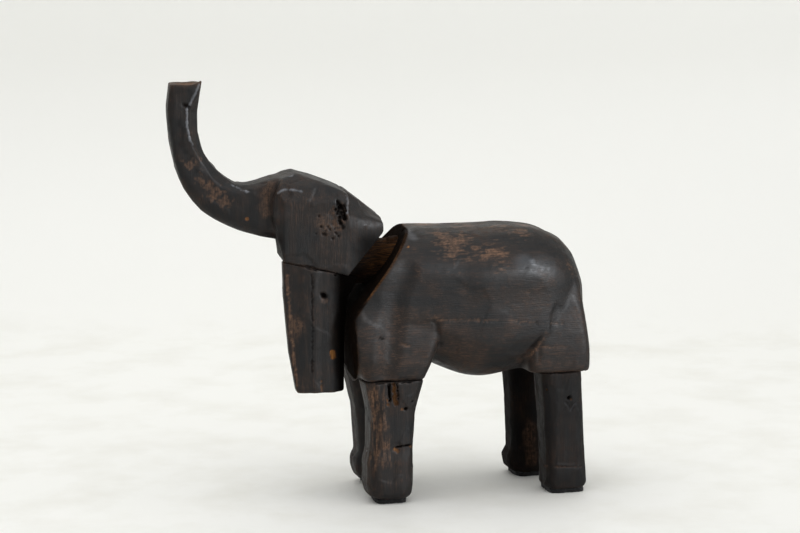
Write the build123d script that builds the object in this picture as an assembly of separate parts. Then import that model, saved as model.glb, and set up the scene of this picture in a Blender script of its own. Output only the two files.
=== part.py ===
from build123d import *
import math
import os

# A standing elephant with a raised trunk, carved from separate blocks of wood
# that are butted, pegged and glued together. Millimetres, +Z up.
#
# Lengths are measured from the middle of the chest front: forward is +X, the
# elephant's left is +Y, and the floor is Z = 0. At the very end everything is
# moved so that the origin is under the middle of the whole elephant.
# The head has its own frame: it is turned a little to the elephant's right
# about the middle of the chest front, and the chest is cut to match.

# ---- Torso ----
TORSO_LENGTH = 219.2        # chest front to the back of the rump
TORSO_WIDTH = 122.0
BACK_HEIGHT = 241.5         # floor to the top of the back
BELLY_HEIGHT = 107.0        # floor to the lowest point of the belly
CHEST_WIDTH = 108.0
CHEST_UNDERSIDE = 119.0     # floor to the chest between the front legs
LOIN_UNDERSIDE = 117.0      # floor to the torso between the rear legs
RUMP_ROUNDING = 81.2        # length over which the rump rounds off
RUMP_SIDE_POWER = 3.1       # squareness of the rump in the side view; 2 is an ellipse
RUMP_PLAN_POWER = 2.8       # and in plan
CHEST_CORNER_HEIGHT = 169.0 # floor to the foremost edge of the chest
CHEST_CUT_ANGLE = 36.0      # lean of the neck cut, from upright
CHEST_TOE_HEIGHT = 140.0    # where the lower chest starts to curve back
CHEST_TOE_SETBACK = 4.0     # how far it has curved back at the leg joint
BARREL_CORNER = 46.0        # rounding of the barrel's long edges
CHEST_ALLOWANCE = 14.0      # the barrel is drawn this far past the chest front, then cut back
RIBS_START = 30.0           # chest front to the first full section of the ribs
RIBS_MIDDLE = 75.0          # chest front to the widest ribs
RIBS_SLIMMING = 4.0         # the ribs are this much narrower than the belly
CHEST_SLIMMING = 6.0        # and the chest front this much narrower than CHEST_WIDTH
BACK_CROWN = 1.0            # rise of the back over the ribs
BELLY_SHARE = 0.53          # share of the length at which the belly hangs lowest
RUMP_DROP = 28.0            # the rump rounds off toward a line this far below mid height
LOIN_RISE = 7.0             # the underside rises this much along the rump
RUMP_SECTIONS = (14, 30, 46, 60, 72, 81, 87)  # places round the rump's quarter turn, in degrees

# ---- Legs ----
LEG_JOINT_HEIGHT = 112.0    # floor to the joint between the leg and the torso
LEG_SPREAD = 70.0           # across the body, middle to middle
FRONT_LEG_SETBACK = 34.0    # chest front to the middle of the front legs
REAR_LEG_SETBACK = 190.0    # chest front to the middle of the left rear leg
RIGHT_REAR_ADVANCE = 9.0    # the right rear leg stands this much further forward
FRONT_LEG_TOP = 54.0        # fore and aft, at the joint
FRONT_LEG_TOP_WIDTH = 42.0
FRONT_ANKLE = 39.5
REAR_LEG_TOP = 39.0
REAR_LEG_TOP_WIDTH = 40.0
REAR_ANKLE = 37.5
FOOT_WIDTH = 39.0
LEG_CORNER = 11.0
STUB_CORNER = 9.0           # where a shoulder or haunch meets its leg
SHOULDER_LENGTH = 82.0      # fore and aft, where the shoulder leaves the barrel
SHOULDER_HEIGHT = 148.0
HAUNCH_LENGTH = 50.0        # the haunch narrows upwards
HAUNCH_HEIGHT = 150.0
HAUNCH_REAR_OVERHANG = 6.5  # the haunch stands out this far behind the rear leg
HAUNCH_FRONT_OVERHANG = 11.0
SHOULDER_FLARE = 10.0       # how much longer a shoulder is just above its leg joint
HAUNCH_FLARE = 2.0
SHOULDER_ADVANCE = 1.0      # how far its upper part stands forward of the leg
HAUNCH_ADVANCE = 1.5
ROOT_SWELL = 3.0            # how much wider a shoulder or haunch is than its leg
ROOT_SWELL_HEIGHT = 10.0    # leg joint to the swell
ROOT_TOP_SHARE = 0.8        # its length inside the barrel, as a share of its full length
ROOT_BURIED = 45.0          # how far it runs on up inside the barrel
ROOT_TUCK = 7.0             # how far its outer side leans in by then
ANKLE_SETTLE = 5.0          # toes to the narrow of the ankle
KNEE_SHARE = 0.12           # how much of the leg's taper is left at half height

# ---- Pads under the feet ----
PAD_THICKNESS = 4.0
FRONT_PAD = 28.0
REAR_PAD = 33.0
PAD_CORNER = 7.0
PAD_INSET = 2.0             # the sole is this much larger than its pad
SEAT_MARGIN = 3.0           # room round a leg's top when the torso is cut flat for it

# ---- Head ----
HEAD_TURN = 6.0             # degrees to the elephant's right
HEAD_WIDTH = 74.0
CREST_HEIGHT = 296.0        # floor to the top of the forehead
CHEEK_FRONT = 67.0          # chest front to the front of the cheeks
CHEEK_BACK = 0.0            # the back of the cheeks stands over the chest front
NAPE_BACK = 31.0            # how far the nape reaches back over the chest front
NAPE_HEIGHT = 254.5
SEAM_FRONT_HEIGHT = 219.0   # joint between head and ears, at the front
SEAM_SLOPE = 0.235          # the joint drops this much for each unit backwards
CHIN_WIDTH = 44.0           # the ears fill the rest of the head's width
CHIN_BOTTOM = 176.0
CHIN_FRONT = 50.0
CHIN_TOE = 18.0             # size of the corner taken off the chin's lower front
CHIN_OVERLAP = 4.0          # how far the chin runs up into the cheeks
CREST_CORNER = 24.0         # how far down the side the forehead's rounding ends
CREST_FLAT_INSET = 20.0     # side to the flat of the crest
NAPE_START = 2.0            # the nape begins this far inside the cheeks
NAPE_SHOULDER = 15.5        # crest to the top of the nape where it begins
NAPE_SIDE_DROP = 35.0       # crest to the corner of its sides there

# ---- Trunk ----
TRUNK_TIP_HEIGHT = 375.0
TRUNK_REACH = 143.0         # chest front to the middle of the raised part
TRUNK_LOW_HEIGHT = 262.0    # middle of the trunk where it leaves the face
TRUNK_ROOT_DEPTH = 54.0
TRUNK_NECK_DEPTH = 26.0     # thickness below the tip
TRUNK_TIP_DEPTH = 29.0
TRUNK_ROOT_WIDTH = 46.0
TRUNK_TIP_WIDTH = 31.0

# ---- Ears ----
EAR_BOTTOM = 100.5
EAR_FRONT_TOP = 59.0        # chest front to the front edge of the ear, at the seam
EAR_FRONT_BOTTOM = 48.0
EAR_BACK_BOTTOM = 4.0
EAR_BACK_TOP = -9.0
EAR_CREASE = 34.0           # chest front to the upright crease
RIGHT_EAR_SETBACK = 8.0     # its front edge stands this much further back
EAR_FACET = 4.0             # how far the outer face falls away from the crease
EAR_BACK_WAIST = 184.0      # floor to where the back edge turns, above
EAR_BACK_HOLLOW = 157.0     # and below
EAR_FRONT_KNEE = 137.0      # floor to where the front edge turns in
EAR_FRONT_SHOULDER = 186.0  # floor to where the front edge leaves the upright
EAR_TOE = 3.0               # chamfer of the lower front corner

# ---- Pegs ----
NECK_PEG_DIAMETER = 40.0
NECK_PEG_HEIGHT = 213.0     # floor to the middle of the peg
NECK_PEG_IN_HEAD = 28.0     # how far it reaches in front of the chest
NECK_PEG_IN_TORSO = 86.0    # how far it reaches behind the chest front
LEG_DOWEL_DIAMETER = 8.0
LEG_DOWEL_LENGTH = 42.0
LEG_DOWEL_SPACING = 20.0
EAR_DOWEL_DIAMETER = 6.0
EAR_DOWEL_LENGTH = 22.0
EAR_DOWEL_DROP = 24.0       # seam to the dowels' middle, straight down
EAR_DOWEL_SETBACKS = (36.0, 11.0)  # front of the chin to each dowel
DOWEL_END_GAP = 1.0         # room for glue at each end of a hole

OVERSIZE = 400.0            # longer than anything it cuts

HEAD_PLACE = Location((0, 0, 0), (0, 0, -HEAD_TURN))

# name, fore-and-aft place of the joint, side, lean of the foot, toe height, toe reach
LEGS = {
    "front_left": (-FRONT_LEG_SETBACK, 1, 2.0, 44.0, 2.5),
    "front_right": (-FRONT_LEG_SETBACK, -1, -5.5, 27.0, 4.0),
    "rear_left": (-REAR_LEG_SETBACK, 1, -6.0, 23.0, 0.5),
    "rear_right": (RIGHT_REAR_ADVANCE - REAR_LEG_SETBACK, -1, -5.0, 20.0, 5.0),
}


def rounded_block(plane, width, depth, corner):
    """A rounded rectangle on a plane, with its corners kept within its sides."""
    return plane * RectangleRounded(width, depth, min(corner, 0.49 * width, 0.49 * depth))


def prism(plane, points, reach):
    """An outline on a plane, extruded the same way to both sides of it."""
    return extrude(plane * make_face(Polyline(*points, close=True)), reach, both=True)


def superellipse_fall(share, power):
    """How much of the full size is left at this share of a rounded-off length."""
    return (1.0 - share**power) ** (1.0 / power)


def barrel():
    """The body of the torso: rounded sections from the chest to the rump."""
    centre = (BACK_HEIGHT + LEG_JOINT_HEIGHT) / 2
    rump_start = TORSO_LENGTH - RUMP_ROUNDING
    # place behind the chest front, width, underside, top
    stations = [
        (-CHEST_ALLOWANCE, CHEST_WIDTH - CHEST_SLIMMING, CHEST_UNDERSIDE + 4.0, BACK_HEIGHT - BACK_CROWN),
        (RIBS_START, CHEST_WIDTH + 4.0, CHEST_UNDERSIDE + 2.0, BACK_HEIGHT + BACK_CROWN),
        (RIBS_MIDDLE, TORSO_WIDTH - RIBS_SLIMMING, CHEST_UNDERSIDE + 2.0, BACK_HEIGHT + BACK_CROWN),
        (TORSO_LENGTH * BELLY_SHARE, TORSO_WIDTH, BELLY_HEIGHT, BACK_HEIGHT),
    ]
    rump_line = centre - RUMP_DROP
    for degrees in RUMP_SECTIONS:
        share = math.sin(math.radians(degrees))
        width = TORSO_WIDTH * superellipse_fall(share, RUMP_PLAN_POWER)
        top = rump_line + (BACK_HEIGHT - rump_line) * superellipse_fall(share, RUMP_SIDE_POWER)
        underside = LOIN_UNDERSIDE - LOIN_RISE * (1.0 - share)
        stations.append((rump_start + RUMP_ROUNDING * share, width, underside, top))
    sections = []
    for behind, width, underside, top in stations:
        plane = Plane(origin=(-behind, 0, (top + underside) / 2), x_dir=(0, 1, 0), z_dir=(1, 0, 0))
        sections.append(rounded_block(plane, width, top - underside, BARREL_CORNER * width / TORSO_WIDTH))
    return loft(sections)


def leg_root(name):
    """A shoulder or haunch that swells out of the barrel down to a leg joint."""
    place, side, _, _, _ = LEGS[name]
    if name.startswith("front"):
        joint_length, joint_width = FRONT_LEG_TOP, FRONT_LEG_TOP_WIDTH
        length, height = SHOULDER_LENGTH, SHOULDER_HEIGHT
        front_overhang, rear_overhang = 0.0, 0.0
        flare, advance = SHOULDER_FLARE, SHOULDER_ADVANCE
    else:
        joint_length, joint_width = REAR_LEG_TOP, REAR_LEG_TOP_WIDTH
        length, height = HAUNCH_LENGTH, HAUNCH_HEIGHT
        front_overhang, rear_overhang = HAUNCH_FRONT_OVERHANG, HAUNCH_REAR_OVERHANG
        flare, advance = HAUNCH_FLARE, HAUNCH_ADVANCE
    foot_length = joint_length + front_overhang + rear_overhang
    foot_shift = (front_overhang - rear_overhang) / 2
    outside = side * (LEG_SPREAD + joint_width) / 2
    swell_height = LEG_JOINT_HEIGHT + ROOT_SWELL_HEIGHT
    # height, length, width, forward shift, how far its outer side stands out past the leg's
    rows = [
        (LEG_JOINT_HEIGHT, foot_length, joint_width, foot_shift, 0.0),
        (swell_height, foot_length + flare, joint_width + ROOT_SWELL, foot_shift + advance / 2, ROOT_SWELL / 2),
        (height, length, joint_width + 2.0, advance, 2.0),
        (height + ROOT_BURIED, length * ROOT_TOP_SHARE, joint_width - 8.0, advance, -ROOT_TUCK),
    ]
    sections = []
    for level, along, across, forward, out in rows:
        y = outside + side * (out - across / 2)
        plane = Plane(origin=(place + forward, y, level))
        sections.append(rounded_block(plane, along, across, STUB_CORNER))
    return loft(sections)


def leg_seat(name):
    """The space of the top of a leg, so that the torso ends flat on it."""
    place, side, _, _, _ = LEGS[name]
    front = name.startswith("front")
    along = (FRONT_LEG_TOP if front else REAR_LEG_TOP) + 2 * SEAT_MARGIN
    across = (FRONT_LEG_TOP_WIDTH if front else REAR_LEG_TOP_WIDTH) + 2 * SEAT_MARGIN
    plane = Plane(origin=(place, side * LEG_SPREAD / 2, LEG_JOINT_HEIGHT))
    return extrude(rounded_block(plane, along, across, LEG_CORNER), -LEG_DOWEL_LENGTH / 2)


def torso_trim():
    """What is kept behind the chest front and the slanted neck cut, in the head's frame."""
    rise = OVERSIZE - CHEST_CORNER_HEIGHT
    cut_back = rise * math.tan(math.radians(CHEST_CUT_ANGLE))
    toe_lean = CHEST_TOE_SETBACK / (CHEST_TOE_HEIGHT - LEG_JOINT_HEIGHT)
    outline = [
        (-toe_lean * CHEST_TOE_HEIGHT, 0),
        (0, CHEST_TOE_HEIGHT),
        (0, CHEST_CORNER_HEIGHT),
        (-cut_back, OVERSIZE),
        (-OVERSIZE, OVERSIZE),
        (-OVERSIZE, 0),
    ]
    return HEAD_PLACE * prism(Plane.XZ, outline, OVERSIZE)


def neck_peg_body(radius, back, front):
    plane = Plane(origin=(back, 0, NECK_PEG_HEIGHT), z_dir=(1, 0, 0))
    return HEAD_PLACE * extrude(plane * Circle(radius), front - back)


def neck_peg_hole():
    """The blind hole for the peg in the head, which also clears the ears if the peg is wide."""
    return neck_peg_body(NECK_PEG_DIAMETER / 2, -OVERSIZE, NECK_PEG_IN_HEAD + DOWEL_END_GAP)


def leg_dowels(name, gap):
    """The two upright dowels between a leg and the torso, or their holes with an end gap."""
    place, side, _, _, _ = LEGS[name]
    length = LEG_DOWEL_LENGTH + 2 * gap
    bottom = LEG_JOINT_HEIGHT - length / 2
    dowels = []
    for end in (-1, 1):
        x = place + end * LEG_DOWEL_SPACING / 2
        plane = Plane(origin=(x, side * LEG_SPREAD / 2, bottom))
        dowels.append(extrude(plane * Circle(LEG_DOWEL_DIAMETER / 2), length))
    return dowels


def torso():
    body = barrel()
    for name in LEGS:
        body += leg_root(name)
    for name in LEGS:
        body -= leg_seat(name)
    body &= torso_trim()
    back_of_hole = -NECK_PEG_IN_TORSO - DOWEL_END_GAP
    body -= neck_peg_body(NECK_PEG_DIAMETER / 2, back_of_hole, OVERSIZE)
    for name in LEGS:
        for hole in leg_dowels(name, DOWEL_END_GAP):
            body -= hole
    return body


def leg(name):
    """A lower leg: from the joint, in to the ankle, and out again to a rounded foot."""
    place, side, lean, toe_height, toe_reach = LEGS[name]
    if name.startswith("front"):
        top, top_width, ankle = FRONT_LEG_TOP, FRONT_LEG_TOP_WIDTH, FRONT_ANKLE
        pad = FRONT_PAD
    else:
        top, top_width, ankle = REAR_LEG_TOP, REAR_LEG_TOP_WIDTH, REAR_ANKLE
        pad = REAR_PAD
    foot = ankle + toe_reach
    knee_height = (LEG_JOINT_HEIGHT + toe_height) / 2
    knee = ankle + KNEE_SHARE * (top - ankle)
    # height, length, width, forward shift
    rows = [
        (PAD_THICKNESS, pad + PAD_INSET, pad + 1.0 + PAD_INSET, lean),
        (PAD_THICKNESS + 4.0, (foot + pad) / 2 + 4.0, FOOT_WIDTH - 2.0, lean + toe_reach * 0.3),
        (PAD_THICKNESS + 12.0, foot, FOOT_WIDTH, lean + toe_reach / 2),
        (toe_height - 3.0, foot, FOOT_WIDTH, lean + toe_reach / 2),
        (toe_height + ANKLE_SETTLE, ankle, FOOT_WIDTH - 1.5, lean * 0.9),
        (knee_height + 4.0, knee, FOOT_WIDTH - 1.0, lean * 0.5),
        (LEG_JOINT_HEIGHT, top, top_width, 0.0),
    ]
    sections = []
    for level, along, across, forward in rows:
        plane = Plane(origin=(place + forward, side * LEG_SPREAD / 2, level))
        sections.append(rounded_block(plane, along, across, LEG_CORNER))
    body = loft(sections, ruled=True)
    for hole in leg_dowels(name, DOWEL_END_GAP):
        body -= hole
    return body


def foot_pad(name):
    place, side, lean, _, _ = LEGS[name]
    size = FRONT_PAD if name.startswith("front") else REAR_PAD
    plane = Plane(origin=(place + lean, side * LEG_SPREAD / 2, 0))
    return extrude(rounded_block(plane, size, size + 1.0, PAD_CORNER), PAD_THICKNESS)


def seam_height(forward):
    """Height of the joint between the head and the ears, at a place forward of the chest."""
    return SEAM_FRONT_HEIGHT - SEAM_SLOPE * (EAR_FRONT_TOP - forward)


def cheeks():
    """The middle of the head: a side outline, narrowed in plan and chamfered on top."""
    half = HEAD_WIDTH / 2
    side_outline = [
        (CHEEK_BACK, seam_height(CHEEK_BACK)),
        (CHEEK_BACK, CREST_HEIGHT - 19.0),
        (CHEEK_BACK + 9.0, CREST_HEIGHT - 14.0),
        (CHEEK_BACK + 30.0, CREST_HEIGHT - 5.5),
        (CHEEK_BACK + 45.0, CREST_HEIGHT - 0.5),
        (CHEEK_FRONT - 9.0, CREST_HEIGHT - 4.0),
        (CHEEK_FRONT, CREST_HEIGHT - 22.0),
        (CHEEK_FRONT, CREST_HEIGHT - 34.0),
        (CHEEK_FRONT - 3.0, CREST_HEIGHT - 50.0),
        (EAR_FRONT_TOP, SEAM_FRONT_HEIGHT),
    ]
    plan_outline = [
        (CHEEK_BACK, -half),
        (CHEEK_FRONT - 21.0, -half),
        (CHEEK_FRONT - 10.0, 12.0 - half),
        (CHEEK_FRONT, half - 9.0),
        (CHEEK_FRONT - 9.0, half),
        (CHEEK_BACK, half),
    ]
    front_outline = [
        (-half, 0),
        (-half, CREST_HEIGHT - CREST_CORNER),
        (6.0 - half, CREST_HEIGHT - 10.0),
        (CREST_FLAT_INSET - half, CREST_HEIGHT),
        (half - CREST_FLAT_INSET, CREST_HEIGHT),
        (half - 6.0, CREST_HEIGHT - 10.0),
        (half, CREST_HEIGHT - CREST_CORNER),
        (half, 0),
    ]
    body = prism(Plane.XZ, side_outline, OVERSIZE)
    body &= prism(Plane.XY, plan_outline, OVERSIZE)
    return body & prism(Plane.YZ, front_outline, OVERSIZE)


def nape():
    """The back of the head, which falls away behind the cheeks in flat facets."""
    half = HEAD_WIDTH / 2
    seam = seam_height(CHEEK_BACK + NAPE_START)
    front = [
        (-half + 2.0, seam),
        (-half + 2.0, CREST_HEIGHT - NAPE_SIDE_DROP),
        (-half + 22.0, CREST_HEIGHT - NAPE_SHOULDER),
        (half - 22.0, CREST_HEIGHT - NAPE_SHOULDER),
        (half - 2.0, CREST_HEIGHT - NAPE_SIDE_DROP),
        (half - 2.0, seam),
    ]
    back = [
        (-half + 10.0, NAPE_HEIGHT - 12.0),
        (-half + 10.0, NAPE_HEIGHT - 3.0),
        (-half + 23.0, NAPE_HEIGHT),
        (half - 23.0, NAPE_HEIGHT),
        (half - 10.0, NAPE_HEIGHT - 3.0),
        (half - 10.0, NAPE_HEIGHT - 12.0),
    ]
    front_face = Plane.YZ.offset(CHEEK_BACK + NAPE_START) * make_face(Polyline(*front, close=True))
    back_face = Plane.YZ.offset(-NAPE_BACK) * make_face(Polyline(*back, close=True))
    return loft([back_face, front_face], ruled=True)


def chin():
    """The narrow core between the ears, which carries them and holds the neck peg."""
    outline = [
        (CHEEK_BACK + 1.0, seam_height(CHEEK_BACK) + CHIN_OVERLAP),
        (CHEEK_BACK + 4.0, CHIN_BOTTOM),
        (CHIN_FRONT - 16.0, CHIN_BOTTOM),
        (CHIN_FRONT, CHIN_BOTTOM + CHIN_TOE),
        (CHIN_FRONT, seam_height(CHIN_FRONT) + CHIN_OVERLAP),
    ]
    return prism(Plane.XZ, outline, CHIN_WIDTH / 2)


def trunk():
    """The trunk: out of the face, up through an S, to a sawn tip."""
    low = TRUNK_LOW_HEIGHT
    path = Spline(
        (CHEEK_FRONT - 22.0, 0, low + 5.0),
        (CHEEK_FRONT + 12.0, 0, low + 1.5),
        (TRUNK_REACH - 37.0, 0, low + 8.0),
        (TRUNK_REACH - 12.0, 0, low + 32.0),
        (TRUNK_REACH, 0, low + 72.0),
        (TRUNK_REACH - 3.0, 0, TRUNK_TIP_HEIGHT),
    )
    waist = (TRUNK_ROOT_DEPTH + TRUNK_NECK_DEPTH) / 2
    # share of the path, thickness in the side view, width, corner
    rows = [
        (0.0, TRUNK_ROOT_DEPTH - 6.0, TRUNK_ROOT_WIDTH, 12.0),
        (0.16, TRUNK_ROOT_DEPTH - 3.5, TRUNK_ROOT_WIDTH, 14.0),
        (0.30, waist - 0.5, TRUNK_ROOT_WIDTH - 5.0, 13.0),
        (0.42, waist - 4.0, TRUNK_ROOT_WIDTH - 9.0, 11.0),
        (0.54, TRUNK_NECK_DEPTH + 6.0, TRUNK_TIP_WIDTH + 2.0, 9.0),
        (0.66, TRUNK_NECK_DEPTH + 1.0, TRUNK_TIP_WIDTH, 7.0),
        (0.80, TRUNK_NECK_DEPTH + 0.5, TRUNK_TIP_WIDTH - 1.0, 6.0),
        (0.93, TRUNK_NECK_DEPTH + 1.5, TRUNK_TIP_WIDTH - 1.0, 6.0),
        (1.0, TRUNK_TIP_DEPTH, TRUNK_TIP_WIDTH, 6.0),
    ]
    sections = []
    for share, depth, width, corner in rows:
        along = path % share
        if share == 1.0:
            along = Vector(0, 0, 1)
        plane = Plane(origin=path @ share, x_dir=(0, 1, 0), z_dir=along)
        sections.append(rounded_block(plane, width, depth, corner))
    return loft(sections)


def ear_dowels(side, gap):
    """The two level dowels between an ear and the chin, in the head's frame."""
    inner = CHIN_WIDTH / 2 - EAR_DOWEL_LENGTH / 2 - gap
    dowels = []
    for setback in EAR_DOWEL_SETBACKS:
        forward = CHIN_FRONT - setback
        level = seam_height(forward) - EAR_DOWEL_DROP
        plane = Plane(origin=(forward, side * inner, level), z_dir=(0, side, 0))
        dowels.append(extrude(plane * Circle(EAR_DOWEL_DIAMETER / 2), EAR_DOWEL_LENGTH + 2 * gap))
    return dowels


def head():
    body = cheeks() + nape() + chin() + trunk()
    for side in (-1, 1):
        for hole in ear_dowels(side, DOWEL_END_GAP):
            body -= hole
    return HEAD_PLACE * body - neck_peg_hole()


def ear(side):
    """An ear board: a tapering outline, with an outer face that falls away from its crease."""
    setback = RIGHT_EAR_SETBACK if side < 0 else 0.0
    front_top = EAR_FRONT_TOP - setback
    outline = [
        (EAR_BACK_TOP, seam_height(EAR_BACK_TOP)),
        (0.0, EAR_BACK_WAIST),
        (EAR_BACK_BOTTOM - 1.0, EAR_BACK_HOLLOW),
        (EAR_BACK_BOTTOM, EAR_BOTTOM),
        (EAR_FRONT_BOTTOM - setback - 2.0, EAR_BOTTOM),
        (EAR_FRONT_BOTTOM - setback, EAR_BOTTOM + EAR_TOE),
        (front_top - 5.0, EAR_FRONT_KNEE),
        (front_top - 1.0, EAR_FRONT_SHOULDER),
        (front_top, seam_height(front_top)),
    ]
    inner = side * CHIN_WIDTH / 2
    outer = side * HEAD_WIDTH / 2
    plan = [
        (EAR_BACK_TOP, inner),
        (EAR_FRONT_TOP, inner),
        (EAR_FRONT_TOP, outer - side * EAR_FACET),
        (EAR_CREASE, outer),
        (EAR_BACK_BOTTOM + 8.0, outer - side * EAR_FACET / 4),
        (EAR_BACK_TOP, outer - side * EAR_FACET * 2),
    ]
    body = prism(Plane.XZ, outline, OVERSIZE) & prism(Plane.XY, plan, OVERSIZE)
    for hole in ear_dowels(side, DOWEL_END_GAP):
        body -= hole
    return HEAD_PLACE * body - neck_peg_hole()


def build():
    pieces = {
        "torso": torso(),
        "neck_peg": neck_peg_body(NECK_PEG_DIAMETER / 2, -NECK_PEG_IN_TORSO, NECK_PEG_IN_HEAD),
        "head": head(),
        "left_ear": ear(1),
        "right_ear": ear(-1),
    }
    for name in LEGS:
        pieces[name + "_leg"] = leg(name)
        pieces[name + "_pad"] = foot_pad(name)
        for number, dowel in enumerate(leg_dowels(name, 0.0), start=1):
            pieces[f"{name}_dowel_{number}"] = dowel
    for side_name, side in (("left", 1), ("right", -1)):
        for number, dowel in enumerate(ear_dowels(side, 0.0), start=1):
            pieces[f"{side_name}_ear_dowel_{number}"] = HEAD_PLACE * dowel
    return pieces


def write(pieces):
    """Put the origin on the floor under the middle of the elephant, and write each piece."""
    whole = Compound(children=[Compound(piece.solids()) for piece in pieces.values()]).bounding_box()
    middle = whole.center()
    shift = Location((-middle.X, -middle.Y, 0))
    os.makedirs("parts", exist_ok=True)
    for name, piece in pieces.items():
        moved = shift * piece
        export_step(moved, f"parts/{name}.step")
        print(f"{name:22s} solids {len(moved.solids())}  volume {moved.volume:12.0f}")
    print("origin moved by", -middle.X, -middle.Y, "overall", whole.size)


write(build())
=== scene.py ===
# %% [markdown]
# # A carved elephant in old, blackened wood
# The elephant is built up from separate blocks: a barrel-shaped torso, a head
# with its raised trunk, two ears, four lower legs and four pads. The packed
# model gives each block its exact size and place. This script gives every block
# its worn skin: knife facets, splits, wormholes, rubbed edges and dark stain.
# Loading the frame comes first.

import math

import bmesh
import bpy
import numpy as np
from mathutils import Matrix, Vector


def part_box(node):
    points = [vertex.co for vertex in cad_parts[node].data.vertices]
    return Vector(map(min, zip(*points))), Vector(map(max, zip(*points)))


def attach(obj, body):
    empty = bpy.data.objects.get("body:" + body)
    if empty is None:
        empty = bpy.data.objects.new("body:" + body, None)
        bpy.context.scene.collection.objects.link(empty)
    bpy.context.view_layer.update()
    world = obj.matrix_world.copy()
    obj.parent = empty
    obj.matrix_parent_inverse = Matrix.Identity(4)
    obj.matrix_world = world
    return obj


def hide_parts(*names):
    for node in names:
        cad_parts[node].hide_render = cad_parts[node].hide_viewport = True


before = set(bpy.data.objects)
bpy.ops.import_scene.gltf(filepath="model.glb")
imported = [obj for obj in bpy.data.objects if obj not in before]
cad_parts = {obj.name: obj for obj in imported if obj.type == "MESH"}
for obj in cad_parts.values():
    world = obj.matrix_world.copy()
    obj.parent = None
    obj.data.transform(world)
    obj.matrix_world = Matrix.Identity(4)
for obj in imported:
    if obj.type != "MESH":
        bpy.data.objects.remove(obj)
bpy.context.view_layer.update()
MM = 0.001

# %% [markdown]
# ## An even skin for each block
# A CAD mesh has long thin triangles on its flat faces, and nothing there can be
# carved. A voxel remesh swaps them for small even squares, like damp clay over
# the same form. The copy's doubled points are merged first, so that the skin is
# closed. Sculpting by hand or a displacement texture are the other ways, but
# moving the points in code puts every mark exactly where it belongs.

# %% Make an even skin
def even_skin(node, square):
    """A copy of a CAD node covered in squares of this size in millimetres."""
    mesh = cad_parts[node].data.copy()
    merged = bmesh.new()
    merged.from_mesh(mesh)
    bmesh.ops.remove_doubles(merged, verts=merged.verts, dist=0.001 * MM)
    merged.to_mesh(mesh)
    merged.free()
    block = bpy.data.objects.new("carved_" + node, mesh)
    bpy.context.collection.objects.link(block)
    skin = block.modifiers.new("even skin", "REMESH")
    skin.mode = "VOXEL"
    skin.voxel_size = square * MM
    ready = block.evaluated_get(bpy.context.evaluated_depsgraph_get())
    block.data = bpy.data.meshes.new_from_object(ready)
    block.modifiers.clear()
    block.data.materials.clear()
    return block


def rub_smooth(block, rounds):
    """Take the steps and the sharpest corners off a skin."""
    skin = bmesh.new()
    skin.from_mesh(block.data)
    for _ in range(rounds):
        bmesh.ops.smooth_vert(skin, verts=skin.verts, factor=0.5, use_axis_x=True, use_axis_y=True, use_axis_z=True)
    skin.to_mesh(block.data)
    skin.free()


# %% [markdown]
# ## Reading and moving the points
# numpy moves a hundred thousand points at once. Positions are in millimetres
# while they are being worked on. Four paint layers are kept beside them: how
# rubbed a place is, how much raw wood shows, how dark a place is painted by soot
# or as painted shade, and where wax lies with a grey-blue painted highlight.

# %% Points, normals and paint
LAYERS = ("rubbed", "raw", "soot", "wax")


def points_of(block):
    flat = np.empty(len(block.data.vertices) * 3)
    block.data.vertices.foreach_get("co", flat)
    return flat.reshape(-1, 3) / MM


def normals_of(block):
    flat = np.empty(len(block.data.vertices) * 3)
    block.data.vertex_normals.foreach_get("vector", flat)
    return flat.reshape(-1, 3)


def move_points(block, places):
    block.data.vertices.foreach_set("co", (places * MM).ravel())
    block.data.update()


def paint_of(block, layer):
    if layer not in block.data.attributes:
        block.data.attributes.new(layer, "FLOAT", "POINT")
    values = np.empty(len(block.data.vertices))
    block.data.attributes[layer].data.foreach_get("value", values)
    return values


def set_paint(block, layer, values):
    if layer not in block.data.attributes:
        block.data.attributes.new(layer, "FLOAT", "POINT")
    block.data.attributes[layer].data.foreach_set("value", np.clip(values, 0.0, 1.0))


# %% [markdown]
# ## Noise in real sizes
# Wood is uneven at every size, so nearly every mark needs noise. This is plain
# value noise: random numbers on the corners of a lattice, blended in between.
# Its size is in millimetres, and each use has its own seed, so it never changes.

# %% Lattice noise
LATTICE = 4096


def lattice_noise(places, size, seed):
    """Random values from -1 to 1 that change over this many millimetres along x, y and z."""
    table = np.random.default_rng(seed).uniform(-1.0, 1.0, LATTICE)
    scaled = places / np.asarray(size, float)
    corner = np.floor(scaled).astype(np.int64)
    part = scaled - corner
    part = part * part * (3.0 - 2.0 * part)
    total = np.zeros(len(places))
    for dx in (0, 1):
        for dy in (0, 1):
            for dz in (0, 1):
                key = (corner[:, 0] + dx) * 73856093 ^ (corner[:, 1] + dy) * 19349663 ^ (corner[:, 2] + dz) * 83492791
                weight = np.abs(1 - dx - part[:, 0]) * np.abs(1 - dy - part[:, 1]) * np.abs(1 - dz - part[:, 2])
                total += weight * table[key % LATTICE]
    return total


def uneven(block, size, height, seed):
    """Push the skin in and out by this height in millimetres."""
    places = points_of(block)
    rise = height * lattice_noise(places, size, seed)
    move_points(block, places + normals_of(block) * rise[:, None])


# %% [markdown]
# ## Knife facets
# The carver worked with a knife and a small adze, so round forms are really
# many flat cuts that age has softened. Each point belongs to the nearest of a
# few hundred cuts and moves part of the way to that cut's flat plane. Points
# round a corner belong to cuts that face their own way.

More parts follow.
